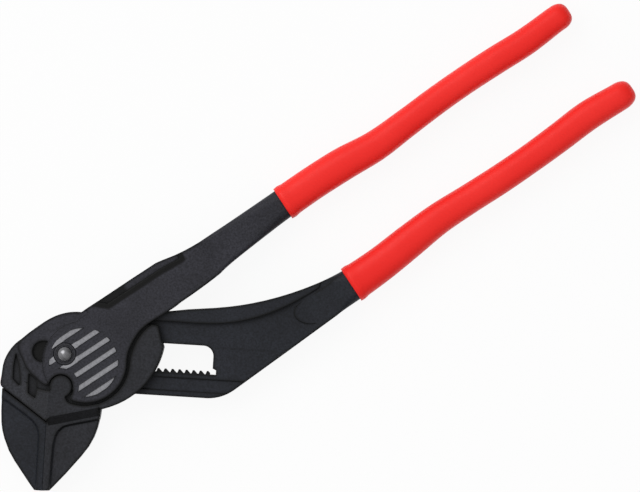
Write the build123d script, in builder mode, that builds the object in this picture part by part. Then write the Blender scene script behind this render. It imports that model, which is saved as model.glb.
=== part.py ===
from build123d import *
from math import cos, radians, sin
import os

# Parallel-jaw water pump pliers, lying flat on their back, jaws shut.
# Millimetres. The origin is on the pivot axis, in the plane they lie on.
# +X is the way the moving jaw opens, +Y is across the slot and +Z is up.
# The fixed jaw, slotted leg and one handle are one forging. A pivot bolt runs
# in the slot and is locked to a rack by a sprung key. A forked lever swings on
# the bolt and pushes the moving jaw along the leg by a round knob on each side.

# Layers, from the middle of the tool outwards, the same on both sides
web_depth = 6.4
cheek_depth = 2.1
plate_depth = 2.2
layer_gap = 0.1
flange_gap = 0.5
tang_depth = 11.0
rib_depth = 10.4
panel_depth = 8.0
plateau_rise = 1.8
nose_drop = 0.4

# Slot, rack and rails
slot_top = 5.7
slot_left_wall = 6.2
slot_end = 51.2
slot_corner = 3.6
rack_tip = 3.0
rack_root = 4.15
rack_pitch = 2.44
rack_phase = -0.5
rack_layer = 2.4
rack_end = 52.4
tooth_base = 2.1
tooth_crest = 0.5
tooth_lean = 0.35
key_teeth = 2
rail_bottom = 12.4
groove_top = 6.0
groove_bottom = 10.4
groove_depth = 0.6
tongue_gap = 0.08
tongue_length = 20.0

# Pivot stack
bolt_radius = 5.6
bolt_flange_radius = 6.4
bolt_flange_depth = 1.2
bolt_neck_radius = 3.0
collar_radius = 3.9
button_radius = 2.35
button_proud = 1.9
button_dome = 1.1
button_reach = 2.1
button_travel = 2.5
stem_radius = 1.4
running_fit = 0.05
stem_fit = 0.1
plug_radius = 3.2
plug_depth = 0.9
press_gap = 0.02
pin_radius = 0.5
spring_wire = 0.5
spring_turns = 5
spring_radius = 1.0
pin_reach = 0.9
key_gap = 0.1
edge_break = 0.25

# Jaws
grip_plane = -5.1
jaw_gap = 0.08
tip_y = -47.7
knob_x = -0.7
knob_y = -11.27
knob_radius = 3.85
knob_gap = 0.3
lobe_x = 7.3
lobe_y = -2.2
lobe_radius = 14.25
lobe_gap = 1.0
boss_x = 6.7
boss_y = -2.5
boss_radius = 14.4
boss_rim_taper = 30.0
moon_x = -7.6
moon_y = 0.4
moon_radius = 3.6
moon_depth = 1.4
v_gap = 0.25
ramp_foot = -14.0
ramp_top = -4.8
ramp_head = -10.1
relief_depth = 1.0
tongue_middle = 13.0
past = 60.0
swing = 18.0
slope_rise = 1.3
slope_width = 2.9
slope_length = 18.0
slope_lean = 14.3
panel_taper = 30.0

# Raised bars on the boss, in a disc round its middle, clear of pin and knob
bar_disc_radius = 12.0
bar_pitch = 4.36
bar_width = 1.84
bar_first = 1.31
bar_height = 0.2
bar_knob_clear = 6.2

# Handles, in a frame turned by the lean of the handles about the pivot
handle_lean = 36.9
grip_coat = 0.8
grip_corner = 4.6
tang_corner = 3.4
crotch = 58.0
roof_start = 30.0
roof_depth = 4.2
end_round = 4.0
end_run = 5.5
bevel_start = 22.0
bevel_end = 50.5
bevel_inner = 6.5
bevel_drop = 1.3
plate_taper_start = 43.5
web_taper_start = 74.0

# Each grip: from its mouth to its end, how far across the handles it lies at
# even steps, and how wide it is there
lever_mouth = 91.4
lever_end = 211.0
lever_across = [1.9, 2.2, 1.95, 1.05, 1.7, 2.5, 2.9, 2.85, 2.55, 3.3]
lever_widths = [12.1, 12.0, 11.9, 11.0, 10.3, 10.1, 10.0, 10.1, 9.9, 9.4]
leg_mouth = 95.7
leg_end = 214.6
leg_across = [-34.6, -34.2, -33.1, -32.1, -32.2, -32.4, -32.2, -31.6, -30.8, -31.3]
leg_widths = [13.1, 12.5, 12.1, 11.2, 10.6, 10.5, 10.4, 10.6, 10.7, 10.0]

# The neck before each mouth, in even steps too, with its corners' rounding
lever_neck_start = 60.0
lever_neck_across = [0.2, 0.95, 1.45]
lever_neck_widths = [13.0, 11.65, 10.95]
lever_neck_corners = [0.4, 1.2, 2.2]
leg_neck_start = 86.0
leg_neck_across = [-34.15, -34.4]
leg_neck_widths = [13.0, 12.0]
leg_neck_corners = [0.4, 2.0]

# Edges of the lever, seen from the front
nose_top = [(4.6, 14.6), (1.4, 14.5), (-1.6, 13.9), (-6.2, 11.7), (-9.6, 9.2)]
nose_slope = [(-9.6, 9.2), (-12.8, 6.6), (-15.8, 3.8)]
nose_front = [(-15.8, 3.8), (-16.4, 2.0), (-15.2, -1.4), (-11.7, -7.1), (-9.5, -8.7)]
nose_hook = [(-9.5, -8.7), (-8.4, -10.0), (-6.1, -11.3)]
nose_low = [(-25.3, -22.5), (4.7, -22.5), (1.5, 10.0), (6.9, 14.8), (4.0, 19.0), (-25.3, 19.0)]
throat_side = [(3.75, -12.6), (3.6, -13.2), (3.2, -14.1), (2.65, -15.1)]
lobe_start_x = 2.9
shank_inner = [(21.95, 2.4), (23.4, 6.1), (25.8, 10.0), (28.4, 12.4), (32.0, 15.0), (38.6, 20.1)]
shank_low = [(38.6, 20.1), (45.3, 25.4)]
shank_high = [(40.7, 39.2), (35.6, 36.3), (32.4, 34.8), (29.4, 33.3)]
shank_back = [(29.4, 33.3), (21.2, 27.2), (11.7, 20.0), (6.5, 16.1), (4.6, 14.6)]

# Edges of the leg and the fixed jaw
leg_top = [(27.5, 16.2), (35.4, 16.9), (41.0, 17.8), (48.0, 18.6), (59.4, 20.4), (73.1, 24.3)]
ridge = [(27.5, 13.2), (35.0, 13.4), (42.5, 13.3), (54.6, 13.9), (66.3, 16.9), (79.3, 23.4)]
ridge_end_across = -29.2
leg_bend = [(59.1, -9.0), (54.7, -11.5), (50.0, -rail_bottom)]
leg_low = (77.6, 6.2)
leg_inner = (52.0, 8.0)
web_left = [(-20.5, -11.5), (-20.3, -7.2), (-19.0, -2.8), (-15.4, 2.6)]
web_top = [(-15.4, 2.6), (-9.0, 9.2), (24.0, 11.2)]
web_low = [(-12.0, -30.0), (-20.3, -13.5), (-20.5, -11.5)]
v_left_y = -13.0
v_middle_y = -23.6
chin_left = [
    (-7.9, tip_y),
    (-9.9, -45.2),
    (-12.6, -41.6),
    (-15.3, -38.0),
    (-17.4, -34.7),
    (-19.2, -30.6),
    (-20.1, -27.8),
    (-20.6, -25.0),
    (-20.9, -21.0),
    (-21.0, -16.0),
]
panel_left = [
    (-22.5, -16.7),
    (-19.1, -18.0),
    (-13.4, -21.7),
    (-10.2, -24.0),
    (-8.8, -25.6),
    (-8.1, -27.3),
    (-7.8, -29.4),
    (-7.8, -50.0),
    (-22.5, -50.0),
]

# Along and across the handles: the rounded start of the leg's bar on the web,
# and the groove between that bar and the flange, which runs out at the grip
bar_rise = 0.7
bar_start = [
    (79.0, -30.1),
    (76.0, -30.3),
    (74.0, -31.4),
    (73.4, -33.4),
    (74.2, -35.8),
    (76.2, -37.9),
    (79.5, -39.4),
]
ridge_groove_level = 4.4
ridge_groove = [
    (78.0, -29.5),
    (86.0, -29.2),
    (88.5, -27.0),
    (95.2, -27.0),
    (95.2, -29.6),
    (86.0, -30.0),
    (78.0, -30.3),
]

# Edges of the moving jaw
jaw_left = [(-15.8, 3.9), (-19.0, 0.4), (-21.1, -4.7), (-21.6, -9.7), (-21.7, -11.6), (-21.0, -12.8)]
jaw_low = [(-3.9, -22.1), (12.9, -17.8)]
jaw_right = [
    (13.6, -18.4),
    (18.4, -16.6),
    (21.7, -14.8),
    (26.0, -11.4),
    (30.6, -5.4),
    (32.6, -1.0),
    (33.9, 4.3),
]
jaw_end = [(33.9, 4.3), (33.0, 6.7), (31.6, 11.7), (28.7, 12.0), (20.0, 11.6)]
jaw_top = [(20.0, 11.6), (14.0, 9.4), (-9.0, 9.4), (-15.8, 3.9)]
chin_right = [
    (-2.6, tip_y + 0.2),
    (-1.7, -46.5),
    (2.5, -41.6),
    (7.4, -35.4),
    (9.9, -31.8),
    (11.6, -28.3),
    (12.6, -25.1),
    (13.3, -21.6),
    (13.6, -18.4),
]
chin_root = [(12.0, -15.0), (-3.9, -20.0)]
panel_right = [
    (15.0, -21.8),
    (10.8, -22.9),
    (3.3, -24.8),
    (1.2, -25.5),
    (-0.4, -27.0),
    (-1.2, -28.6),
    (-1.8, -32.0),
    (-2.3, -50.0),
    (15.0, -50.0),
]
relief_pockets = [
    [(-16.9, -0.8), (-17.5, -5.4), (-17.4, -9.7), (-15.1, -11.8), (-14.9, -10.4), (-15.5, -5.9)],
    [(-12.1, -7.6), (-11.9, -14.2), (-9.4, -15.8), (-9.0, -13.8), (-9.3, -9.6)],
]
# How far the hook of the lever's nose sweeps over the jaw
hook_sweep = [(-5.9, -12.95), (-8.6, -12.4), (-10.2, -11.5), (-12.8, -10.65)]
pocket_top = (30.4, 12.6)
pocket_side = [(26.0, 8.4), (24.0, 4.6)]
pocket_left_x = 1.9

# Levels worked out from the layers
web_half = web_depth / 2
cheek_inner = web_half + layer_gap
cheek_outer = cheek_inner + cheek_depth
plate_inner = cheek_outer + layer_gap
head_half = plate_inner + plate_depth
mid = head_half
flange_depth = 2 * (plate_inner - flange_gap)
rack_floor = web_half - rack_layer
jaw_travel = -knob_y * sin(radians(swing)) + knob_x * (1 - cos(radians(swing)))
plateau_level = cheek_outer + plateau_rise
grip_depth = tang_depth + 2 * grip_coat

top_edge = 8.6
roof_inner = top_edge - roof_depth
key_mouth = rack_pitch - tooth_crest - 2 * key_gap
key_tip = rack_pitch - tooth_base - key_gap

# Edge of the floor that the lever sweeps: along the lobe, then round the knob
pocket_radius = lobe_radius + lobe_gap
pocket_right = (lobe_x + pocket_radius, lobe_y)
pocket_low = (lobe_x + pocket_radius * cos(radians(-60)), lobe_y + pocket_radius * sin(radians(-60)))
pocket_left = (pocket_left_x, lobe_y - (pocket_radius**2 - (lobe_x - pocket_left_x) ** 2) ** 0.5)
knob_right = (knob_x + knob_radius * cos(radians(-65)), knob_y + knob_radius * sin(radians(-65)))
knob_left = (knob_x + knob_radius * cos(radians(205)), knob_y + knob_radius * sin(radians(205)))
knob_crown = (knob_x, knob_y + knob_radius)

lean = radians(handle_lean)
along = (cos(lean), sin(lean), 0)
handle_plane = Plane(origin=(0, 0, mid), x_dir=along, z_dir=(0, 0, 1))
side_plane = Plane(origin=(0, 0, mid), x_dir=along, z_dir=(sin(lean), -cos(lean), 0))
mid_plane = Plane.XY.offset(mid)


def on_handle(t, across):
    """A point at t along the handles and across them, in the part's own X and Y."""
    return (t * cos(lean) - across * sin(lean), t * sin(lean) + across * cos(lean))


def polygon(points):
    """A face inside straight edges."""
    with BuildLine(mode=Mode.PRIVATE) as edges:
        Polyline(*points, close=True)
    return make_face(edges.edges(), mode=Mode.PRIVATE)


def stations(mouth, end, across, widths):
    """Sections at even steps from a grip's mouth to the start of its rounded end."""
    step = (end - end_run - mouth) / (len(across) - 1)
    return [(mouth + i * step, a, w) for i, (a, w) in enumerate(zip(across, widths))]


def neck(start, mouth, across, widths, corners):
    """Sections at even steps from a neck's start, up to but without its grip's mouth."""
    step = (mouth - start) / len(across)
    return [(start + i * step, a, w, c) for i, (a, w, c) in enumerate(zip(across, widths, corners))]


lever_stations = stations(lever_mouth, lever_end, lever_across, lever_widths)
leg_stations = stations(leg_mouth, leg_end, leg_across, leg_widths)
lever_neck = neck(
    lever_neck_start, lever_mouth, lever_neck_across, lever_neck_widths, lever_neck_corners
)
leg_neck = neck(leg_neck_start, leg_mouth, leg_neck_across, leg_neck_widths, leg_neck_corners)


def tang_sections(sections):
    """The steel inside a grip, thinner than the grip by its coat."""
    return [(t, a, w - 2 * grip_coat, tang_depth, tang_corner) for t, a, w in sections]


def grip_sections(sections):
    """The outside of a dipped grip."""
    return [(t, a, w, grip_depth, grip_corner) for t, a, w in sections]


def handle_loft(sections, run=0):
    """A bar lofted through rounded sections along a handle, rounded at its end if it has a run."""
    last_t, *last_shape = sections[-1]
    if run:
        sections = sections + [(last_t + run, *last_shape)]
    with BuildPart(mode=Mode.PRIVATE) as bar:
        for t, across, width, depth, corner in sections:
            x, y = on_handle(t, across)
            section = Plane(origin=(x, y, mid), x_dir=(-sin(lean), cos(lean), 0), z_dir=along)
            with BuildSketch(section):
                RectangleRounded(width, depth, corner)
        loft()
        if run:
            tip = bar.faces().sort_by(Axis((0, 0, mid), along))[-1]
            fillet(tip.edges(), end_round)
    return bar.part


def plate_level(t):
    """Half the lever's depth at t, level over the head and drawn down to the tang."""
    share = (t - plate_taper_start) / (lever_mouth - plate_taper_start)
    return head_half + share * (tang_depth / 2 - head_half)


# Lever outline, shared with the pocket that it works in
def lever_outline():
    """The edge of the lever's head and shank as it is seen from the front."""
    notch = knob_radius + knob_gap
    tooth = (knob_x + notch * cos(radians(172)), knob_y + notch * sin(radians(172)))
    crown = (knob_x, knob_y + notch)
    throat = (knob_x + notch * cos(radians(-10)), knob_y + notch * sin(radians(-10)))
    lobe_low = (lobe_start_x, lobe_y - (lobe_radius**2 - (lobe_x - lobe_start_x) ** 2) ** 0.5)
    lobe_mid = (
        lobe_x + lobe_radius * cos(radians(-45)),
        lobe_y + lobe_radius * sin(radians(-45)),
    )
    lobe_right = (lobe_x + lobe_radius, lobe_y)
    neck_t, neck_across, neck_width, neck_corner = lever_neck[0]
    neck_low = on_handle(neck_t, neck_across - neck_width / 2)
    neck_high = on_handle(neck_t, neck_across + neck_width / 2)
    with BuildLine(mode=Mode.PRIVATE) as edge:
        Spline(*nose_top)
        Polyline(*nose_slope)
        Spline(*nose_front)
        Polyline(*nose_hook, tooth)
        ThreePointArc(tooth, crown, throat)
        Polyline(throat, *throat_side, lobe_low)
        ThreePointArc(lobe_low, lobe_mid, lobe_right)
        Spline(lobe_right, *shank_inner)
        Spline(*shank_low, neck_low)
        Line(neck_low, neck_high)
        Spline(neck_high, *shank_high)
        Polyline(*shank_back)
    return make_face(edge.edges(), mode=Mode.PRIVATE)


# Fixed jaw, slotted leg and handle: one forging
neck_t, neck_across, neck_width, neck_corner = leg_neck[0]
leg_neck_high = on_handle(neck_t, neck_across + neck_width / 2)
leg_neck_low = on_handle(neck_t, neck_across - neck_width / 2)
ridge_end = on_handle(neck_t, ridge_end_across)

with BuildPart() as fixed_jaw_handle:
    # The leg drawn down from the neck's depth to the web's
    with BuildSketch(mid_plane):
        with BuildLine():
            Spline(*leg_top, leg_neck_high)
            Polyline(leg_neck_high, leg_neck_low, leg_low, leg_bend[0])
            Polyline(leg_bend[0], leg_inner, leg_top[0])
        make_face()
    extrude(amount=flange_depth / 2, both=True)
    with BuildSketch(side_plane):
        with BuildLine():
            Polyline(
                (0, web_half),
                (web_taper_start, web_half),
                (neck_t, flange_depth / 2),
                (neck_t, -flange_depth / 2),
                (web_taper_start, -web_half),
                (0, -web_half),
                close=True,
            )
        make_face()
    extrude(amount=80, both=True, mode=Mode.INTERSECT)
    # The flat web that the moving jaw and the bolt slide on
    with BuildSketch(mid_plane):
        with BuildLine():
            Spline(*leg_top, leg_neck_high)
            Polyline(leg_neck_high, leg_neck_low, leg_low, leg_bend[0])
            Spline(*leg_bend)
            Polyline(
                leg_bend[-1],
                (grip_plane, -rail_bottom),
                (grip_plane, web_low[0][1]),
                *web_low,
            )
            Spline(*web_left)
            Polyline(*web_top, ridge[0], leg_top[0])
        make_face()
    extrude(amount=web_half, both=True)
    # The raised flange along the top of the leg
    with BuildSketch(mid_plane):
        with BuildLine():
            Spline(*leg_top, leg_neck_high)
            Line(leg_neck_high, ridge_end)
            Spline(*ridge, ridge_end)
            Line(ridge[0], leg_top[0])
        make_face()
    extrude(amount=flange_depth / 2, both=True)
    # The bar that becomes the handle starts on the web with a rounded nose
    with BuildSketch(mid_plane):
        with BuildLine():
            nose = [on_handle(t, across) for t, across in bar_start]
            Spline(*nose)
            Polyline(nose[-1], leg_neck_low, leg_neck_high, nose[0])
        make_face()
    extrude(amount=web_half + bar_rise, both=True)
    # The jaw's chin: full depth along the rib, drawn back in the side panel
    with BuildSketch(mid_plane):
        add(
            polygon(
                [
                    (chin_left[-1][0], v_left_y - v_gap),
                    (grip_plane, v_middle_y - v_gap),
                    (grip_plane, tip_y),
                    *chin_left,
                ]
            )
        )
    extrude(amount=rib_depth / 2, both=True)
    for side in (1, -1):
        with BuildSketch(mid_plane.offset(side * panel_depth / 2)):
            add(polygon(panel_left))
        extrude(amount=side * (rib_depth - panel_depth) / 2, taper=-panel_taper, mode=Mode.SUBTRACT)
    # The slot: deep behind the rack, with the rack in front
    with BuildSketch(mid_plane.offset(-web_half)):
        with BuildLine():
            Polyline(
                (-slot_left_wall, -bolt_radius - 0.2),
                (-slot_left_wall, slot_top),
                (slot_end - slot_corner, slot_top),
            )
            TangentArc(
                (slot_end - slot_corner, slot_top),
                (slot_end, slot_top - slot_corner),
                tangent=(1, 0),
            )
            Polyline(
                (slot_end, slot_top - slot_corner),
                (slot_end, -rack_tip + 1.0),
                (rack_end, -rack_tip + 0.4),
                (rack_end, -bolt_radius - 0.2),
                (-slot_left_wall, -bolt_radius - 0.2),
            )
        make_face()
    extrude(amount=web_depth - rack_layer, mode=Mode.SUBTRACT)
    with BuildSketch(mid_plane.offset(rack_floor)):
        with BuildLine():
            Polyline(
                (-slot_left_wall, -rack_tip),
                (-slot_left_wall, slot_top),
                (slot_end - slot_corner, slot_top),
            )
            TangentArc(
                (slot_end - slot_corner, slot_top),
                (slot_end, slot_top - slot_corner),
                tangent=(1, 0),
            )
            Polyline(
                (slot_end, slot_top - slot_corner),
                (slot_end, -rack_tip),
                (-slot_left_wall, -rack_tip),
            )
        make_face()
        # The end of the rack is open past the slot's own wall
        add(
            polygon(
                [
                    (slot_end - 0.8, -rack_tip + 1.0),
                    (slot_end, -rack_tip + 1.0),
                    (rack_end, -rack_tip + 0.4),
                    (rack_end, -rack_root),
                    (slot_end - 0.8, -rack_root),
                ]
            )
        )
        # Gaps between the teeth, a whole number each side of the resting one
        gap_mouth = rack_pitch - tooth_crest
        gap_floor = rack_pitch - tooth_base
        first = -2
        last = int((slot_end - rack_phase) / rack_pitch)
        for index in range(first, last + 1):
            x = rack_phase + index * rack_pitch
            add(
                polygon(
                    [
                        (x - gap_mouth / 2, -rack_tip + 0.01),
                        (x + gap_mouth / 2, -rack_tip + 0.01),
                        (x + tooth_lean + gap_floor / 2, -rack_root),
                        (x + tooth_lean - gap_floor / 2, -rack_root),
                    ]
                )
            )
    extrude(amount=rack_layer, mode=Mode.SUBTRACT)
    # A groove in each face of the lower rail
    for side in (1, -1):
        with BuildSketch(mid_plane.offset(side * (web_half - groove_depth))):
            with Locations((20, -(groove_top + groove_bottom) / 2)):
                Rectangle(100, groove_bottom - groove_top)
        extrude(amount=side * groove_depth, mode=Mode.SUBTRACT)
    # The neck and the tang inside the grip
    leg_neck_depths = [flange_depth, (flange_depth + tang_depth) / 2]
    leg_neck_sections = [(t, a, w, d, c) for (t, a, w, c), d in zip(leg_neck, leg_neck_depths)]
    add(handle_loft(leg_neck_sections + tang_sections(leg_stations)))
    # The groove between the flange and the bar
    for side in (1, -1):
        with BuildSketch(mid_plane.offset(side * ridge_groove_level)):
            add(polygon([on_handle(t, across) for t, across in ridge_groove]))
        extrude(amount=side * flange_depth / 2, mode=Mode.SUBTRACT)
fixed_jaw_handle.part.label = "fixed_jaw_handle"

with BuildPart() as fixed_handle_grip:
    add(handle_loft(grip_sections(leg_stations), end_run))
    add(fixed_jaw_handle.part, mode=Mode.SUBTRACT)
fixed_handle_grip.part.label = "fixed_handle_grip"

# Forked lever: one forging
with BuildPart() as lever_handle:
    with BuildSketch(mid_plane):
        add(lever_outline())
    extrude(amount=head_half, both=True)
    # Full depth at the head, drawn down to the tang
    with BuildSketch(side_plane):
        with BuildLine():
            Polyline(
                (-60, head_half),
                (plate_taper_start, head_half),
                (lever_neck[0][0], plate_level(lever_neck[0][0])),
                (lever_neck[0][0], -plate_level(lever_neck[0][0])),
                (plate_taper_start, -head_half),
                (-60, -head_half),
                close=True,
            )
        make_face()
    extrude(amount=80, both=True, mode=Mode.INTERSECT)
    # The gap of the fork, which leaves a roof along the top edge
    with BuildSketch(handle_plane):
        with BuildLine():
            Polyline((crotch, -past), (-past, -past), (-past, past), (roof_start, past))
            Polyline((roof_start, past), (roof_start, roof_inner), (crotch - 3, roof_inner))
            TangentArc((crotch - 3, roof_inner), (crotch, roof_inner - 3), tangent=(1, 0))
            Line((crotch, roof_inner - 3), (crotch, -past))
        make_face()
    extrude(amount=plate_inner, both=True, mode=Mode.SUBTRACT)
    # The nose beside the round boss is a little lower
    with BuildSketch(mid_plane.offset(head_half - nose_drop)):
        add(polygon(nose_low))
        with Locations((boss_x, boss_y)):
            Circle(boss_radius, mode=Mode.SUBTRACT)
    extrude(amount=nose_drop, taper=-boss_rim_taper, mode=Mode.SUBTRACT)
    # A half-moon pocket in the nose
    with BuildSketch(mid_plane.offset(head_half - nose_drop - moon_depth)):
        with Locations((moon_x, moon_y)):
            Circle(moon_radius)
        with Locations((moon_x + moon_radius / 2, moon_y)):
            Rectangle(moon_radius, 2 * moon_radius)
        with Locations((boss_x, boss_y)):
            Circle(boss_radius, mode=Mode.SUBTRACT)
    extrude(amount=moon_depth + nose_drop, mode=Mode.SUBTRACT)
    # A bevel along the top edge of the front plate
    with BuildSketch(handle_plane.offset(head_half)):
        with BuildLine():
            Polyline(
                (bevel_start, bevel_inner),
                (bevel_end, bevel_inner),
                (bevel_end, 12),
                (bevel_start - 6, 12),
                close=True,
            )
        make_face()
    extrude(amount=-bevel_drop, taper=-60, mode=Mode.SUBTRACT)
    # Bearings: the front plate on the collar, the back plate on the bolt
    with BuildSketch(mid_plane.offset(plate_inner)):
        Circle(collar_radius + running_fit)
    extrude(amount=plate_depth, mode=Mode.SUBTRACT)
    with BuildSketch(mid_plane.offset(-plate_inner)):
        Circle(bolt_radius + running_fit)
    extrude(amount=-plate_depth, mode=Mode.SUBTRACT)
    with BuildSketch(mid_plane.offset(-head_half)):
        Circle(bolt_flange_radius + stem_fit)
    extrude(amount=bolt_flange_depth + running_fit, mode=Mode.SUBTRACT)
    # Raised bars across the boss, in line with the handle
    with BuildSketch(mid_plane.offset(head_half)):
        with Locations((boss_x, boss_y)):
            Circle(bar_disc_radius)
        bar_steps = int(bar_disc_radius / bar_pitch) + 1
        bars = [bar_first + bar_width / 2 + i * bar_pitch for i in range(-bar_steps, bar_steps)]
        places = [(boss_x + k * sin(lean), boss_y - k * cos(lean)) for k in bars]
        with Locations(*places):
            Rectangle(3 * bar_disc_radius, bar_width, rotation=handle_lean, mode=Mode.INTERSECT)
        Circle(collar_radius + running_fit, mode=Mode.SUBTRACT)
        with Locations((knob_x, knob_y)):
            Circle(bar_knob_clear, mode=Mode.SUBTRACT)
    extrude(amount=bar_height)
    # The neck and the tang inside the grip
    lever_neck_sections = [(t, a, w, 2 * plate_level(t), c) for t, a, w, c in lever_neck]
    add(handle_loft(lever_neck_sections + tang_sections(lever_stations)))
lever_handle.part.label = "lever_handle"

with BuildPart() as lever_handle_grip:
    add(handle_loft(grip_sections(lever_stations), end_run))
    add(lever_handle.part, mode=Mode.SUBTRACT)
lever_handle_grip.part.label = "lever_handle_grip"

# Moving jaw: a saddle whose cheeks run on both faces of the leg
face_x = grip_plane + jaw_gap
with BuildPart() as moving_jaw:
    with BuildSketch(mid_plane):
        with BuildLine():
            Spline(*jaw_left)
            Polyline(jaw_left[-1], (grip_plane, v_middle_y), *jaw_low, jaw_right[0])
            Spline(*jaw_right)
            Polyline(*jaw_end)
            Polyline(*jaw_top)
        make_face()
    extrude(amount=plateau_level, both=True)
    # The floor that the lever's plates sweep over, left clear round the knob
    for side in (1, -1):
        with BuildSketch(mid_plane.offset(side * cheek_outer)):
            with BuildLine():
                Spline(pocket_top, *pocket_side, pocket_right)
                ThreePointArc(pocket_right, pocket_low, pocket_left)
                Line(pocket_left, knob_right)
                ThreePointArc(knob_right, knob_crown, knob_left)
                Polyline(knob_left, *hook_sweep, (ramp_foot, ramp_head), (ramp_foot, -30.0))
                Polyline((ramp_foot, -30.0), (-30.0, -30.0), (-30.0, 20.0), pocket_top)
            make_face()
        extrude(amount=side * plateau_rise, mode=Mode.SUBTRACT)
        # A ramp from the floor up to the foot of the knob
        with BuildSketch(Plane.XZ.offset(-ramp_head)):
            with BuildLine():
                Polyline(
                    (ramp_foot, mid + side * cheek_outer),
                    (ramp_top, mid + side * plateau_level),
                    (ramp_foot, mid + side * plateau_level),
                    close=True,
                )
            make_face()
        extrude(amount=30, mode=Mode.SUBTRACT)
    # The chin, with a slope down to it from the plateau
    with BuildSketch(mid_plane):
        add(
            polygon(
                [
                    (face_x, v_middle_y + 1),
                    (face_x, tip_y),
                    *chin_right,
                    *chin_root,
                ]
            )
        )
    extrude(amount=rib_depth / 2, both=True)
    slope_angle = radians(slope_lean)
    slope_plane = Plane(
        origin=(face_x, v_middle_y + slope_rise, mid),
        x_dir=(sin(slope_angle), -cos(slope_angle), 0),
        z_dir=(cos(slope_angle), sin(slope_angle), 0),
    )
    with BuildSketch(slope_plane):
        add(
            polygon(
                [
                    (-slope_rise, -plateau_level),
                    (0, -plateau_level),
                    (slope_width, -rib_depth / 2),
                    (slope_width, rib_depth / 2),
                    (0, plateau_level),
                    (-slope_rise, plateau_level),
                ]
            )
        )
    extrude(amount=slope_length)
    for side in (1, -1):
        with BuildSketch(mid_plane.offset(side * panel_depth / 2)):
            add(polygon(panel_right))
        extrude(amount=side * (rib_depth - panel_depth) / 2, taper=-panel_taper, mode=Mode.SUBTRACT)
    # The channel for the leg's web, and the way past the fixed jaw
    with BuildSketch(mid_plane):
        with Locations((0, past / 2 - rail_bottom - layer_gap)):
            Rectangle(2 * past, past)
        with Locations((face_x - past / 2, -past / 2)):
            Rectangle(past, past)
    extrude(amount=cheek_inner, both=True, mode=Mode.SUBTRACT)
    # Slots for the bolt, as long as the jaw's own travel
    for level, radius, reach in (
        (cheek_inner, bolt_neck_radius, plateau_level),
        (-cheek_inner, bolt_radius, -plateau_level),
    ):
        with BuildSketch(mid_plane.offset(level)):
            with Locations((-jaw_travel / 2, 0)):
                SlotCenterToCenter(jaw_travel, 2 * (radius + stem_fit))
        extrude(amount=reach - level, mode=Mode.SUBTRACT)
    # Tongues that run in the grooves of the lower rail
    for side in (1, -1):
        with BuildSketch(mid_plane.offset(side * (web_half - groove_depth + tongue_gap))):
            with Locations((tongue_middle, -(groove_top + groove_bottom) / 2)):
                Rectangle(tongue_length, groove_bottom - groove_top - 2 * tongue_gap)
        extrude(amount=side * (groove_depth + layer_gap))
    # Two relief pockets in the front cheek
    with BuildSketch(mid_plane.offset(cheek_outer - relief_depth)):
        for outline in relief_pockets:
            add(polygon(outline))
    extrude(amount=relief_depth + plateau_rise, mode=Mode.SUBTRACT)
moving_jaw.part.label = "moving_jaw"

# Pivot bolt, hollow for the button and its spring
shoulder = web_half + layer_gap / 2
button_floor = head_half - button_reach - button_travel - 0.2
key_low = rack_floor + key_gap
key_high = web_half - key_gap
key_middle = rack_phase + (key_teeth - 1) * rack_pitch / 2
key_half = key_teeth * rack_pitch / 2 - 0.1
plug_face = -head_half + plug_depth
stem_end = key_low - button_travel
with BuildPart() as pivot_bolt:
    with BuildSketch(mid_plane.offset(-head_half)):
        Circle(bolt_flange_radius)
    extrude(amount=bolt_flange_depth)
    chamfer(pivot_bolt.edges().sort_by(Axis.Z)[0], edge_break)
    with BuildSketch(mid_plane.offset(-head_half)):
        Circle(bolt_radius)
    extrude(amount=head_half + shoulder)
    with BuildSketch(mid_plane):
        Circle(bolt_neck_radius)
    extrude(amount=head_half)
    # Flat above the rack, and the window that the key slides in
    with BuildSketch(mid_plane.offset(rack_floor - key_gap)):
        with Locations((0, -rack_tip + 2 * running_fit - 10)):
            Rectangle(20, 20)
    extrude(amount=shoulder - rack_floor + key_gap, mode=Mode.SUBTRACT)
    with BuildSketch(mid_plane.offset(key_low - button_travel - 2 * key_gap)):
        with Locations((key_middle, -stem_radius - 5)):
            Rectangle(2 * (key_half + key_gap), 10)
    extrude(
        amount=shoulder - (key_low - button_travel - 2 * key_gap),
        mode=Mode.SUBTRACT,
    )
    # Bore for the stem and spring, counterbores for the button and the plug
    with BuildSketch(mid_plane.offset(-head_half)):
        Circle(stem_radius + stem_fit)
    extrude(amount=2 * head_half, mode=Mode.SUBTRACT)
    with BuildSketch(mid_plane.offset(button_floor)):
        Circle(button_radius + stem_fit)
    extrude(amount=head_half - button_floor, mode=Mode.SUBTRACT)
    with BuildSketch(mid_plane.offset(-head_half)):
        Circle(plug_radius)
    extrude(amount=plug_depth, mode=Mode.SUBTRACT)
pivot_bolt.part.label = "pivot_bolt"

with BuildPart() as front_collar:
    with BuildSketch(mid_plane.offset(plate_inner + running_fit)):
        Circle(collar_radius)
        Circle(bolt_neck_radius + press_gap, mode=Mode.SUBTRACT)
    extrude(amount=plate_depth - running_fit)
    collar_rim = front_collar.edges().filter_by(GeomType.CIRCLE).sort_by(Axis.Z)[-2:]
    chamfer(collar_rim.sort_by(SortBy.RADIUS)[-1], edge_break)
front_collar.part.label = "front_collar"

with BuildPart() as back_plug:
    with BuildSketch(mid_plane.offset(-head_half)):
        Circle(plug_radius - press_gap)
    extrude(amount=plug_depth)
back_plug.part.label = "back_plug"

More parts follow.
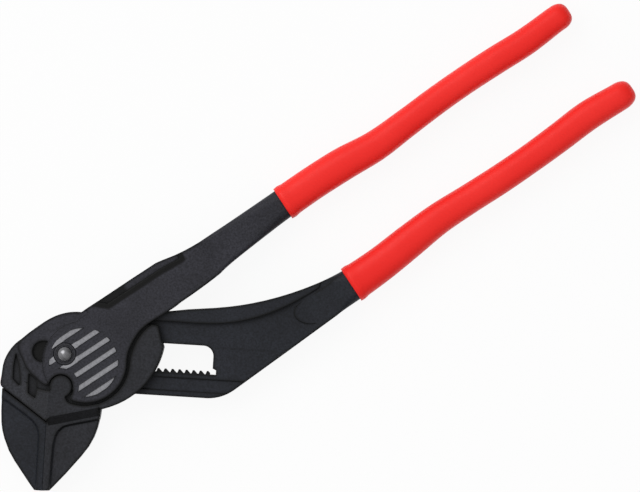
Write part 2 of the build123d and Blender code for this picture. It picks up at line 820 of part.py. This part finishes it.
# Push button with its stem, the key, the pin between them and the spring
button_edge = head_half + button_proud - button_dome
with BuildPart() as push_button:
    with BuildSketch(Plane(origin=(0, 0, mid), x_dir=(1, 0, 0), z_dir=(0, -1, 0))):
        with BuildLine():
            Polyline(
                (0, head_half + button_proud),
                (0, stem_end),
                (stem_radius, stem_end),
                (stem_radius, head_half - button_reach),
                (button_radius, head_half - button_reach),
                (button_radius, button_edge),
            )
            TangentArc(
                (0, head_half + button_proud),
                (button_radius, button_edge),
                tangent=(1, 0),
            )
        make_face()
    revolve(axis=Axis.Z)
    with BuildSketch(Plane.XZ.offset(-stem_radius)):
        with Locations((0, mid + (key_low + key_high) / 2)):
            Circle(pin_radius + press_gap)
    extrude(amount=2 * stem_radius, mode=Mode.SUBTRACT)
push_button.part.label = "push_button"

with BuildPart() as lock_key:
    with BuildSketch(mid_plane.offset(key_low)):
        with Locations((key_middle, -(stem_radius + key_gap / 2 + rack_tip - key_gap) / 2)):
            Rectangle(2 * key_half, rack_tip - key_gap - stem_radius - key_gap / 2)
        for index in range(key_teeth):
            x = rack_phase + index * rack_pitch
            add(
                polygon(
                    [
                        (x - key_mouth / 2, -rack_tip + key_gap),
                        (x + key_mouth / 2, -rack_tip + key_gap),
                        (x + tooth_lean + key_tip / 2, -rack_root + key_gap),
                        (x + tooth_lean - key_tip / 2, -rack_root + key_gap),
                    ]
                )
            )
    extrude(amount=key_high - key_low)
    with BuildSketch(Plane.XZ.offset(stem_radius)):
        with Locations((0, mid + (key_low + key_high) / 2)):
            Circle(pin_radius + press_gap)
    extrude(amount=pin_reach, mode=Mode.SUBTRACT)
lock_key.part.label = "lock_key"

with BuildPart() as key_pin:
    with BuildSketch(Plane.XZ.offset(-stem_radius + key_gap)):
        with Locations((0, mid + (key_low + key_high) / 2)):
            Circle(pin_radius)
    extrude(amount=2 * stem_radius - key_gap + pin_reach - key_gap)
key_pin.part.label = "key_pin"

spring_length = stem_end - plug_face
with BuildPart() as button_spring:
    with BuildLine(mid_plane.offset(plug_face + spring_wire / 2)) as coil:
        Helix(
            pitch=(spring_length - spring_wire) / spring_turns,
            height=spring_length - spring_wire,
            radius=spring_radius,
        )
    with BuildSketch(Plane(coil.line @ 0, z_dir=coil.line % 0)):
        Circle(spring_wire / 2)
    sweep(is_frenet=True)
button_spring.part.label = "button_spring"

os.makedirs("parts", exist_ok=True)
for piece in (
    fixed_jaw_handle,
    fixed_handle_grip,
    lever_handle,
    lever_handle_grip,
    moving_jaw,
    pivot_bolt,
    front_collar,
    back_plug,
    push_button,
    lock_key,
    key_pin,
    button_spring,
):
    export_step(piece.part, f"parts/{piece.part.label}.step")
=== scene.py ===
import math

import bmesh
import bpy
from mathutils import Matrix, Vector


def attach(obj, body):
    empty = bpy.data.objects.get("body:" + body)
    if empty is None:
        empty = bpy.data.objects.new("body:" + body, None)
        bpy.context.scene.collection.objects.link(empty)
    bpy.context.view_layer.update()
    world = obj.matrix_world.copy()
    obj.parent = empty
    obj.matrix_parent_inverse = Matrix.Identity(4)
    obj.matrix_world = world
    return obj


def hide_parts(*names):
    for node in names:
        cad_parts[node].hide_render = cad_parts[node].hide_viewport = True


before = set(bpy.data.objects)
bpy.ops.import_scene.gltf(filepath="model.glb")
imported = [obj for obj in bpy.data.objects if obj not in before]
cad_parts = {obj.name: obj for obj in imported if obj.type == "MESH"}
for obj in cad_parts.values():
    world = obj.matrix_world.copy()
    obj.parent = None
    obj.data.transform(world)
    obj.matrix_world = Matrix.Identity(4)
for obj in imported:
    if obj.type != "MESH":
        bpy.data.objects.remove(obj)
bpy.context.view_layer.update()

MM = 0.001

# The handles lean by this much from +X, and the tool's middle plane is this
# high. The grips' lengths are in millimetres
LEAN = math.radians(36.9)
MID = 7.7

# Dipped grips: where they start and end along the handles, and at even steps
# between how far across they lie and how wide they are
LEVER_MOUTH = 91.4
LEVER_END = 211.0
LEVER_ACROSS = [1.9, 2.2, 1.95, 1.05, 1.7, 2.5, 2.9, 2.85, 2.55, 3.3]
LEVER_WIDTHS = [12.1, 12.0, 11.9, 11.0, 10.3, 10.1, 10.0, 10.1, 9.9, 9.4]
LEG_MOUTH = 95.7
LEG_END = 214.6
LEG_ACROSS = [-34.6, -34.2, -33.1, -32.1, -32.2, -32.4, -32.2, -31.6, -30.8, -31.3]
LEG_WIDTHS = [13.1, 12.5, 12.1, 11.2, 10.6, 10.5, 10.4, 10.6, 10.7, 10.0]

# A grip's rings: depth, how far they stay inside the solid, count of points,
# distance from ring to ring, and how square they are
GRIP_DEPTH = 12.6
INSET_WIDE = 0.1
INSET_DEEP = 0.2
RING_POINTS = 40
RING_STEP = 1.6
SECTION_POWER = 2.7

# A grip's ends: the dome, and the raised lip at the mouth, which turns in to
# the steel
END_RUN = 5.5
DOME_LENGTH = 4.4
DOME_RINGS = 10
DOME_BLUNT = 0.62
LIP_LENGTH = 2.2
LIP_RISE = 0.35
LIP_FADE = 4
LIP_ROUND = 0.5
MOUTH_SINK = 0.3
MOUTH_COAT = 1.4


def on_handle(t, across, z):
    """A point in metres, from millimetres along and across the handles."""
    x = t * math.cos(LEAN) - across * math.sin(LEAN)
    y = t * math.sin(LEAN) + across * math.cos(LEAN)
    return Vector((x * MM, y * MM, z * MM))


def smooth_between(stations, t):
    """Across and width at t, on a smooth curve through the stations."""
    last = len(stations) - 1
    i = 0
    while i < last - 1 and t > stations[i + 1][0]:
        i += 1
    before = stations[max(i - 1, 0)]
    a = stations[i]
    b = stations[i + 1]
    after = stations[min(i + 2, last)]
    span = b[0] - a[0]
    f = min(max((t - a[0]) / span, 0.0), 1.0)
    out = []
    for k in (1, 2):
        slope_a = (b[k] - before[k]) / (b[0] - before[0]) * span
        slope_b = (after[k] - a[k]) / (after[0] - a[0]) * span
        h00 = 2 * f**3 - 3 * f**2 + 1
        h10 = f**3 - 2 * f**2 + f
        h01 = -2 * f**3 + 3 * f**2
        h11 = f**3 - f**2
        out.append(h00 * a[k] + h10 * slope_a + h01 * b[k] + h11 * slope_b)
    return out


def grip_rings(start, end, across, widths):
    """Place, middle and half sizes of each ring, from inside the mouth to the dome."""
    step = (end - END_RUN - start) / (len(across) - 1)
    stations = [(start + i * step, a, w) for i, (a, w) in enumerate(zip(across, widths))]
    ts = [start]
    while ts[-1] + RING_STEP < end - DOME_LENGTH:
        ts.append(ts[-1] + RING_STEP)
    rings = []
    for t in ts:
        middle, width = smooth_between(stations, t)
        lip = LIP_RISE * math.exp(-(((t - start - LIP_LENGTH / 2) / LIP_LENGTH) ** 2) * LIP_FADE)
        wide = width / 2 + lip - INSET_WIDE
        deep = GRIP_DEPTH / 2 + lip - INSET_DEEP
        rings.append((t, middle, wide, deep))
    t0, middle0, wide0, deep0 = rings[-1]
    for k in range(1, DOME_RINGS):
        a = k / DOME_RINGS * math.pi / 2
        shrink = math.cos(a) ** DOME_BLUNT
        rings.append((t0 + (end - t0) * math.sin(a), middle0, wide0 * shrink, deep0 * shrink))
    t, middle, wide, deep = rings[0]
    inner = (t + MOUTH_SINK, middle, wide - MOUTH_COAT, deep - MOUTH_COAT)
    lip_edge = (t, middle, wide - LIP_ROUND, deep - LIP_ROUND)
    return [inner, lip_edge] + rings


def ring_points(t, middle, wide, deep):
    """Points on a rounded square ring across a handle."""
    points = []
    for n in range(RING_POINTS):
        a = 2 * math.pi * n / RING_POINTS
        c = math.cos(a)
        s = math.sin(a)
        u = math.copysign(abs(c) ** (2 / SECTION_POWER), c) * wide
        v = math.copysign(abs(s) ** (2 / SECTION_POWER), s) * deep
        points.append(on_handle(t, middle + u, MID + v))
    return points


def dipped_grip(name, start, end, across, widths, node, body):
    """A soft dipped grip: rounded sections, a lip at the mouth and a domed end."""
    rings = grip_rings(start, end, across, widths)
    bm = bmesh.new()
    loops = [[bm.verts.new(point) for point in ring_points(*ring)] for ring in rings]
    tip = bm.verts.new(on_handle(end, rings[-1][1], MID))
    for n in range(RING_POINTS):
        m = (n + 1) % RING_POINTS
        for one, two in zip(loops, loops[1:]):
            bm.faces.new((one[n], one[m], two[m], two[n]))
        bm.faces.new((loops[-1][n], loops[-1][m], tip))
    bm.faces.new(list(reversed(loops[0])))
    bmesh.ops.recalc_face_normals(bm, faces=bm.faces)
    mesh = bpy.data.meshes.new(name)
    bm.to_mesh(mesh)
    bm.free()
    for face in mesh.polygons:
        face.use_smooth = True
    piece = bpy.data.objects.new(name, mesh)
    bpy.context.scene.collection.objects.link(piece)
    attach(piece, body)
    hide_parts(node)
    return piece


# Finish. Reaches and levels are in metres: how far the painted edge shade goes in,
# how round an edge looks, how deep the grain is, and how high the ground bars stand
EDGE_REACH = 0.0012
EDGE_ROUND = 0.0004
GRAIN_HEIGHT = 0.0001
BAR_LEVEL = 0.01545
RAY_COUNT = 8

# How far from a crease its painted shade reaches, and how dark it gets
PAINTED_SHADE_REACH = 0.002
LEG_PAINTED_SHADE_REACH = 0.003
BOLT_PAINTED_SHADE_REACH = 0.0006
PAINTED_SHADE_DARKEST = 0.02
GRIP_PAINTED_SHADE_DARKEST = 0.5

# Boxes in millimetres, seen along the pivot: from and to in X, from and to in
# Y, and how soft their own edges are. These two stay free of the painted edge shade
BITE = (-6.4, -3.8, -60.0, -24.5, 0.5)
COLLAR = (-4.6, 4.6, -4.6, 4.6, 0.3)

# Darker places, by their level and their box: painted shade in the rack's teeth and
# along a faint crease across the leg from the slot, the lever's neck and the jaw's right side
RACK_PAINTED_SHADE = (0.3, 3.0, 52.6, -4.9, -2.7, 0.25)
CREASE_PAINTED_SHADE = (0.7, 52.5, 73.0, 4.9, 5.6, 0.35)
NECK = (0.78, 62.0, 130.0, -50.0, 150.0, 8.0)
JAW_RIGHT = (0.7, -13.0, 60.0, -80.0, 40.0, 2.5)

# Colours, and how far the cloud's dark and light parts go from a steel's tint
LEVER_TINT = (0.0262, 0.0262, 0.0335)
JAW_TINT = (0.0265, 0.0275, 0.0335)
# The leg is the same steel as the lever, its tint darkened as painted shade
LEG_SHADED_TINT = (0.0135, 0.0152, 0.0205)
BOLT_TINT = (0.0290, 0.0290, 0.0345)
CLOUD_DARK = 0.82
CLOUD_LIGHT = 1.22
GROUND_DARK = (0.22, 0.22, 0.24)
GROUND_LIGHT = (0.34, 0.34, 0.36)
BRIGHT_DARK = (0.2, 0.2, 0.21)
BRIGHT_LIGHT = (0.25, 0.25, 0.26)
RED_DARK = (0.93, 0.019, 0.014)
RED_LIGHT = (0.97, 0.025, 0.019)


def new_material(name):
    """A node material with only its output and a principled shader."""
    material = bpy.data.materials.new(name)
    material.use_nodes = True
    tree = material.node_tree
    tree.nodes.clear()
    out = tree.nodes.new("ShaderNodeOutputMaterial")
    shader = tree.nodes.new("ShaderNodeBsdfPrincipled")
    tree.links.new(shader.outputs["BSDF"], out.inputs["Surface"])
    return material, tree, shader


def maths(tree, operation, *values):
    """The result of an operation on plain numbers or other nodes' outputs."""
    node = tree.nodes.new("ShaderNodeMath")
    node.operation = operation
    for socket, value in zip(node.inputs, values):
        if isinstance(value, float):
            socket.default_value = value
        else:
            tree.links.new(value, socket)
    return node.outputs[0]


def along(tree, vector, direction):
    """How far a vector points along a direction."""
    node = tree.nodes.new("ShaderNodeVectorMath")
    node.operation = "DOT_PRODUCT"
    node.inputs[1].default_value = direction
    tree.links.new(vector, node.inputs[0])
    return node.outputs["Value"]


def object_axes(tree):
    """The object's own coordinates, with an output for each axis."""
    where = tree.nodes.new("ShaderNodeTexCoord")
    split = tree.nodes.new("ShaderNodeSeparateXYZ")
    tree.links.new(where.outputs["Object"], split.inputs["Vector"])
    return split.outputs


def noise(tree, scale, detail, rough):
    """A noise on the object's own coordinates."""
    where = tree.nodes.new("ShaderNodeTexCoord")
    tex = tree.nodes.new("ShaderNodeTexNoise")
    tex.inputs["Scale"].default_value = scale
    tex.inputs["Detail"].default_value = detail
    tex.inputs["Roughness"].default_value = rough
    tree.links.new(where.outputs["Object"], tex.inputs["Vector"])
    return tex.outputs["Fac"]


def grey(level):
    """A colour of one level."""
    return (level, level, level)


def ramp(tree, source, low, one, high, two):
    """A colour that goes from one at the low value to two at the high value."""
    node = tree.nodes.new("ShaderNodeValToRGB")
    stops = ((low, one), (high, two))
    for element, (place, colour) in zip(node.color_ramp.elements, stops):
        element.position = place
        element.color = (*colour, 1.0)
    tree.links.new(source, node.inputs["Fac"])
    return node.outputs["Color"]


def multiply(tree, one, two, share=None):
    """The product of two colours, or a share of it."""
    mix = tree.nodes.new("ShaderNodeMix")
    mix.data_type = "RGBA"
    mix.blend_type = "MULTIPLY"
    mix.inputs["Factor"].default_value = 1.0
    tree.links.new(one, mix.inputs["A"])
    tree.links.new(two, mix.inputs["B"])
    if share is not None:
        tree.links.new(share, mix.inputs["Factor"])
    return mix.outputs["Result"]


def patch(tree, x_low, x_high, y_low, y_high, soft):
    """One inside a soft-edged box on the object and none outside, in millimetres."""
    axes = object_axes(tree)
    sides = []
    for axis, low, high in (("X", x_low, x_high), ("Y", y_low, y_high)):
        shift = maths(tree, "SUBTRACT", axes[axis], (low + high) / 2 * MM)
        fade = tree.nodes.new("ShaderNodeMapRange")
        fade.interpolation_type = "SMOOTHSTEP"
        fade.inputs["From Min"].default_value = ((high - low) / 2 + soft) * MM
        fade.inputs["From Max"].default_value = ((high - low) / 2 - soft) * MM
        tree.links.new(maths(tree, "ABSOLUTE", shift), fade.inputs["Value"])
        sides.append(fade.outputs["Result"])
    return maths(tree, "MULTIPLY", *sides)


def darker_in_box(tree, colour, level, *box):
    """A colour that is darker inside a box, by the level given."""
    shade = tree.nodes.new("ShaderNodeRGB")
    shade.outputs[0].default_value = (*grey(level), 1.0)
    return multiply(tree, colour, shade.outputs[0], patch(tree, *box))


def occlusion(tree, distance, inside=False):
    """How open the surface is, or with inside how thick the piece is, out to a distance."""
    node = tree.nodes.new("ShaderNodeAmbientOcclusion")
    node.samples = RAY_COUNT
    node.inside = inside
    node.only_local = inside
    node.inputs["Distance"].default_value = distance
    return node.outputs["AO"]


def shadowed(tree, colour, distance, darkest):
    """A colour with painted shade in grooves and where pieces meet."""
    shade = ramp(tree, occlusion(tree, distance), 0.15, grey(darkest), 0.8, grey(1.0))
    return multiply(tree, colour, shade)


def painted_edge_shade(tree, colour, unshaded_box):
    """A colour with painted shade along the outer edges, but not inside the box given."""
    thick = occlusion(tree, EDGE_REACH, inside=True)
    shade = ramp(tree, thick, 0.6, grey(0.0), 0.96, grey(1.0))
    return multiply(tree, colour, shade, maths(tree, "SUBTRACT", 1.0, patch(tree, *unshaded_box)))


def low_side_shade(tree, colour):
    """A colour with painted shade where the surface leans to -Y, as on the slope above the chin.
    """
    place = tree.nodes.new("ShaderNodeNewGeometry")
    lean = along(tree, place.outputs["True Normal"], (0, -1, 0))
    return multiply(tree, colour, ramp(tree, lean, 0.3, grey(1.0), 0.52, grey(0.3)))


def rounded_normal(tree):
    """The surface's normal with the edges rounded."""
    edge = tree.nodes.new("ShaderNodeBevel")
    edge.samples = RAY_COUNT
    edge.inputs["Radius"].default_value = EDGE_ROUND
    return edge.outputs["Normal"]


def grained(tree, shader, height, strength, normal=None):
    """Adds a fine grain to the surface's normal, or to the one given."""
    bump = tree.nodes.new("ShaderNodeBump")
    bump.inputs["Strength"].default_value = strength
    bump.inputs["Distance"].default_value = GRAIN_HEIGHT
    tree.links.new(height, bump.inputs["Height"])
    if normal is not None:
        tree.links.new(normal, bump.inputs["Normal"])
    tree.links.new(bump.outputs["Normal"], shader.inputs["Normal"])


def ground_bars(tree, colour, grain):
    """A colour that is bright where the raised bars are ground."""
    raised = maths(tree, "GREATER_THAN", object_axes(tree)["Z"], BAR_LEVEL)
    mix = tree.nodes.new("ShaderNodeMix")
    mix.data_type = "RGBA"
    tree.links.new(raised, mix.inputs["Factor"])
    tree.links.new(colour, mix.inputs["A"])
    tree.links.new(ramp(tree, grain, 0.3, GROUND_DARK, 0.7, GROUND_LIGHT), mix.inputs["B"])
    return mix.outputs["Result"]


def black_steel(
    name, tint, bars=False, reach=PAINTED_SHADE_REACH, dark_boxes=(), unshaded_box=None, slope=False
):
    """Phosphated forged steel: near black, matt, with a fine grain.

    It has painted shade along its edges when a box to keep free of it is given.
    """
    material, tree, shader = new_material(name)
    shader.inputs["Specular IOR Level"].default_value = 0.2
    grain = noise(tree, 1500, 3.0, 0.6)
    cloud = noise(tree, 60, 4.0, 0.6)
    dark = tuple(c * CLOUD_DARK for c in tint)
    light = tuple(c * CLOUD_LIGHT for c in tint)
    base = ramp(tree, cloud, 0.3, dark, 0.7, light)
    colour = multiply(tree, base, ramp(tree, grain, 0.35, grey(0.62), 0.65, grey(1.38)))
    if bars:
        colour = ground_bars(tree, colour, grain)
    # Painted shade along the outer edges
    if unshaded_box is not None:
        colour = painted_edge_shade(tree, colour, unshaded_box)
    # Painted shade on faces that lean to -Y, away from the light
    if slope:
        colour = low_side_shade(tree, colour)
    # Darker boxes: painted shade at the rack and the crease, plain darkening at the neck and the
    # jaw's right side
    for dark_box in dark_boxes:
        colour = darker_in_box(tree, colour, *dark_box)
    # Painted shade in grooves and where pieces meet
    tree.links.new(shadowed(tree, colour, reach, PAINTED_SHADE_DARKEST), shader.inputs["Base Color"])
    rough = ramp(tree, grain, 0.3, grey(0.44), 0.7, grey(0.58))
    tree.links.new(rough, shader.inputs["Roughness"])
    grained(tree, shader, grain, 0.25, rounded_normal(tree))
    return material


def red_pvc():
    """Smooth dipped PVC with a satin face."""
    material, tree, shader = new_material("red_pvc")
    colour = ramp(tree, noise(tree, 45, 3.0, 0.5), 0.3, RED_DARK, 0.7, RED_LIGHT)
    # Painted shade in hollows and where the grip meets other pieces
    colour = shadowed(tree, colour, PAINTED_SHADE_REACH, GRIP_PAINTED_SHADE_DARKEST)
    tree.links.new(colour, shader.inputs["Base Color"])
    fine = noise(tree, 700, 2.0, 0.5)
    rough = ramp(tree, fine, 0.3, grey(0.36), 0.7, grey(0.46))
    tree.links.new(rough, shader.inputs["Roughness"])
    shader.inputs["Specular IOR Level"].default_value = 0.22
    grained(tree, shader, fine, 0.1)
    return material


def bright_steel():
    """Burnished turned steel, as on the push button."""
    material, tree, shader = new_material("bright_steel")
    fine = noise(tree, 900, 3.0, 0.6)
    colour = ramp(tree, fine, 0.3, BRIGHT_DARK, 0.7, BRIGHT_LIGHT)
    tree.links.new(colour, shader.inputs["Base Color"])
    shader.inputs["Metallic"].default_value = 1.0
    rough = ramp(tree, fine, 0.3, grey(0.2), 0.7, grey(0.3))
    tree.links.new(rough, shader.inputs["Roughness"])
    return material


def dress(nodes, material):
    """Gives CAD nodes their material."""
    for node in nodes:
        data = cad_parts[node].data
        data.materials.clear()
        data.materials.append(material)


dress(
    ["lever_handle"],
    black_steel("lever_steel", LEVER_TINT, bars=True, dark_boxes=(NECK,), unshaded_box=COLLAR),
)
dress(
    ["moving_jaw"],
    black_steel("jaw_steel", JAW_TINT, dark_boxes=(JAW_RIGHT,), unshaded_box=BITE, slope=True),
)
dress(
    ["fixed_jaw_handle"],
    black_steel(
        "leg_steel", LEG_SHADED_TINT, reach=LEG_PAINTED_SHADE_REACH, dark_boxes=(RACK_PAINTED_SHADE, CREASE_PAINTED_SHADE), unshaded_box=BITE
    ),
)
dress(
    ["pivot_bolt", "front_collar", "back_plug"],
    black_steel("bolt_steel", BOLT_TINT, reach=BOLT_PAINTED_SHADE_REACH),
)
dress(["push_button", "lock_key", "key_pin", "button_spring"], bright_steel())

red = red_pvc()
for grip in (
    dipped_grip(
        "lever_dipped_grip", LEVER_MOUTH, LEVER_END, LEVER_ACROSS, LEVER_WIDTHS,
        "lever_handle_grip", "lever",
    ),
    dipped_grip(
        "leg_dipped_grip", LEG_MOUTH, LEG_END, LEG_ACROSS, LEG_WIDTHS,
        "fixed_handle_grip", "fixed_leg",
    ),
):
    grip.data.materials.append(red)

# Floor: half its side, its place, its white, and the share of its own glow in
# what is seen of it, which leaves the rest to the tool's faint shadow
FLOOR_HALF = 3.0
FLOOR_PLACE = (0.1, 0.05, -0.0002)
FLOOR_WHITE = 0.9
FLOOR_GLOW = 0.92

# World: the side that is brighter, and its strength at two values towards it
SKY_SIDE = (-0.85, 0.4, 0.34)
SKY_RANGE = (-0.35, 0.9)
SKY_STRENGTH = (0.22, 0.84)

# Square soft lights, by name, place, size and power, and where they aim
LIGHTS = (
    ("key", (-0.45, 0.4, 0.85), 0.75, 4.2),
    ("fill", (0.45, -0.25, 0.75), 1.6, 2.1),
)
AIM = (0.08, 0.04, 0)

# Camera, straight above: lens and sensor in millimetres, the view's width in
# metres at the height of the plane that it is measured on, and its place
LENS = 300.0
SENSOR = 36.0
VIEW_WIDTH = 0.2214
VIEW_PLANE = 0.012
VIEW_X = 0.0857
VIEW_Y = 0.0426
VIEW_TURN = math.radians(3.5)
VIEW_FAR = 20


def clear_view(tree):
    """One for a ray that comes from the camera, a mirror or a clear piece, otherwise none."""
    path = tree.nodes.new("ShaderNodeLightPath")
    result = path.outputs["Is Camera Ray"]
    for kind in ("Is Glossy Ray", "Is Transmission Ray"):
        result = maths(tree, "MAXIMUM", result, path.outputs[kind])
    return result


def floor():
    """A white floor that keeps a faint shadow."""
    bm = bmesh.new()
    bmesh.ops.create_grid(bm, x_segments=4, y_segments=4, size=FLOOR_HALF)
    mesh = bpy.data.meshes.new("floor")
    bm.to_mesh(mesh)
    bm.free()
    obj = bpy.data.objects.new("floor", mesh)
    obj.location = FLOOR_PLACE
    bpy.context.scene.collection.objects.link(obj)
    material = bpy.data.materials.new("floor_white")
    material.use_nodes = True
    tree = material.node_tree
    tree.nodes.clear()
    out = tree.nodes.new("ShaderNodeOutputMaterial")
    diffuse = tree.nodes.new("ShaderNodeBsdfDiffuse")
    diffuse.inputs["Color"].default_value = (*grey(FLOOR_WHITE), 1)
    glow = tree.nodes.new("ShaderNodeEmission")
    glow.inputs["Strength"].default_value = 1.0
    mix = tree.nodes.new("ShaderNodeMixShader")
    share = maths(tree, "MULTIPLY", clear_view(tree), FLOOR_GLOW)
    tree.links.new(share, mix.inputs["Fac"])
    tree.links.new(diffuse.outputs[0], mix.inputs[1])
    tree.links.new(glow.outputs[0], mix.inputs[2])
    tree.links.new(mix.outputs[0], out.inputs["Surface"])
    obj.data.materials.append(material)


def studio():
    """Soft light all round, brighter from the upper left."""
    world = bpy.data.worlds.new("studio")
    world.use_nodes = True
    tree = world.node_tree
    sky = tree.nodes["Background"]
    sky.inputs["Color"].default_value = (1, 1, 1, 1)
    where = tree.nodes.new("ShaderNodeTexCoord")
    spread = tree.nodes.new("ShaderNodeMapRange")
    spread.inputs["From Min"].default_value = SKY_RANGE[0]
    spread.inputs["From Max"].default_value = SKY_RANGE[1]
    spread.inputs["To Min"].default_value = SKY_STRENGTH[0]
    spread.inputs["To Max"].default_value = SKY_STRENGTH[1]
    side = along(tree, where.outputs["Generated"], SKY_SIDE)
    tree.links.new(side, spread.inputs["Value"])
    tree.links.new(spread.outputs["Result"], sky.inputs["Strength"])
    bpy.context.scene.world = world


def area_light(name, place, size, power):
    """A square soft light at a place, turned to the tool."""
    data = bpy.data.lights.new(name, "AREA")
    data.size = size
    data.energy = power
    obj = bpy.data.objects.new(name, data)
    obj.location = place
    obj.rotation_euler = (Vector(AIM) - Vector(place)).to_track_quat("-Z", "Y").to_euler()
    bpy.context.scene.collection.objects.link(obj)


floor()
studio()
for light in LIGHTS:
    area_light(*light)

camera_data = bpy.data.cameras.new("camera")
camera_data.lens = LENS
camera_data.sensor_width = SENSOR
camera_data.clip_end = VIEW_FAR
camera = bpy.data.objects.new("camera", camera_data)
camera.location = (VIEW_X, VIEW_Y, VIEW_PLANE + VIEW_WIDTH * LENS / SENSOR)
camera.rotation_euler = (0, 0, VIEW_TURN)
bpy.context.scene.collection.objects.link(camera)
bpy.context.scene.camera = camera
bpy.context.scene.view_settings.view_transform = "Standard"
